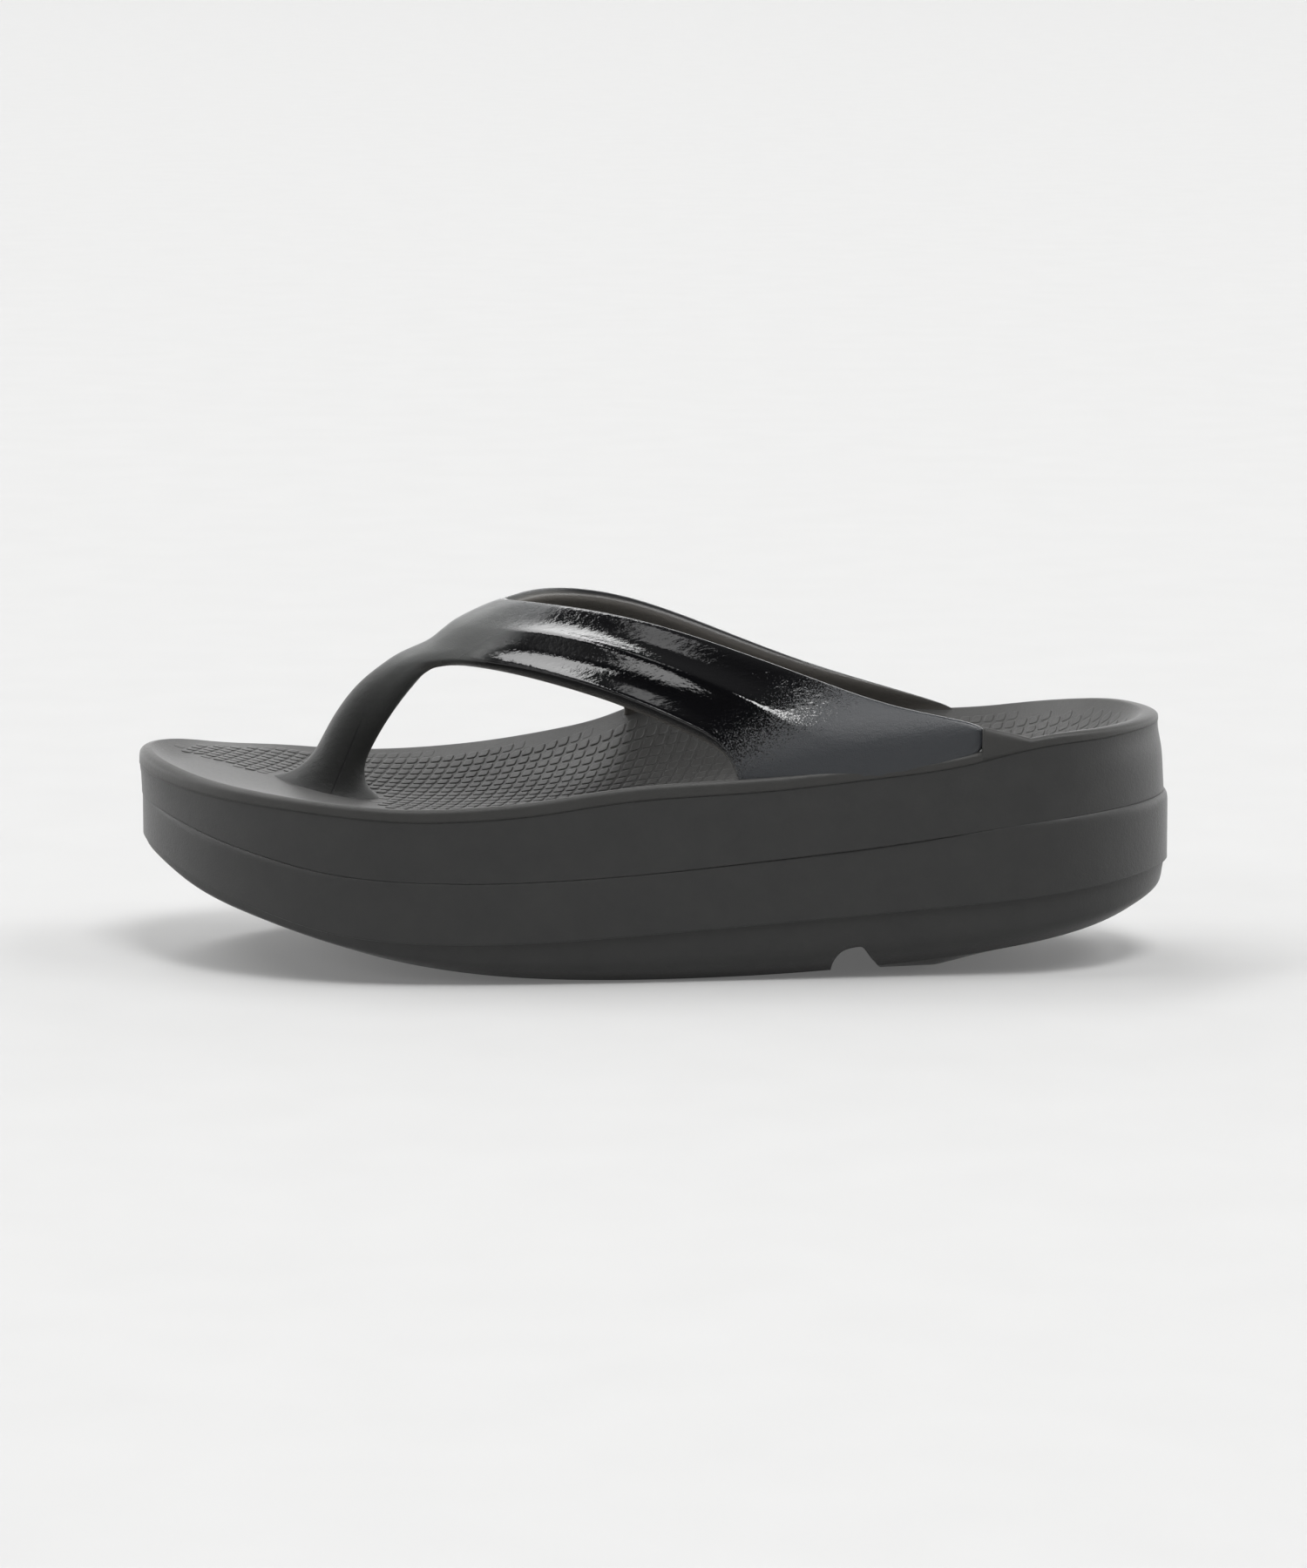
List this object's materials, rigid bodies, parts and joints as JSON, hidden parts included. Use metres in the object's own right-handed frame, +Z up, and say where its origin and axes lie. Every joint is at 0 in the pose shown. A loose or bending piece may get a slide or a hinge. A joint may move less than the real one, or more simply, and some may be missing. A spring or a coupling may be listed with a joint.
{
  "type": "recovery toe post sandal",
  "caption": "Left foam toe post sandal: stepped platform sole with toe spring and flex notch, dished bed with arch and heel cup, ridged gloss strap arms joined to a toe post.",
  "frame": {"origin": "middle of the sandal's box, on the ground plane under the sole", "axes": "+X from toe to heel, +Y to the medial side (the big toe's), +Z up"},
  "size_m": [0.2649, 0.1001, 0.0922],
  "materials": {
    "side_foam": "matte charcoal foam with a fine skin",
    "bed_foam": "matte charcoal foam, moulded with a grid of small pads",
    "gloss_strap": "gloss black lacquer on the strap, satin towards post and tails"
  },
  "bodies": {
    "root": {"outsole": "side_foam", "midsole_lower": "side_foam", "midsole_upper": "side_foam", "footbed": "bed_foam", "upper": "gloss_strap"}
  },
  "joints": []
}
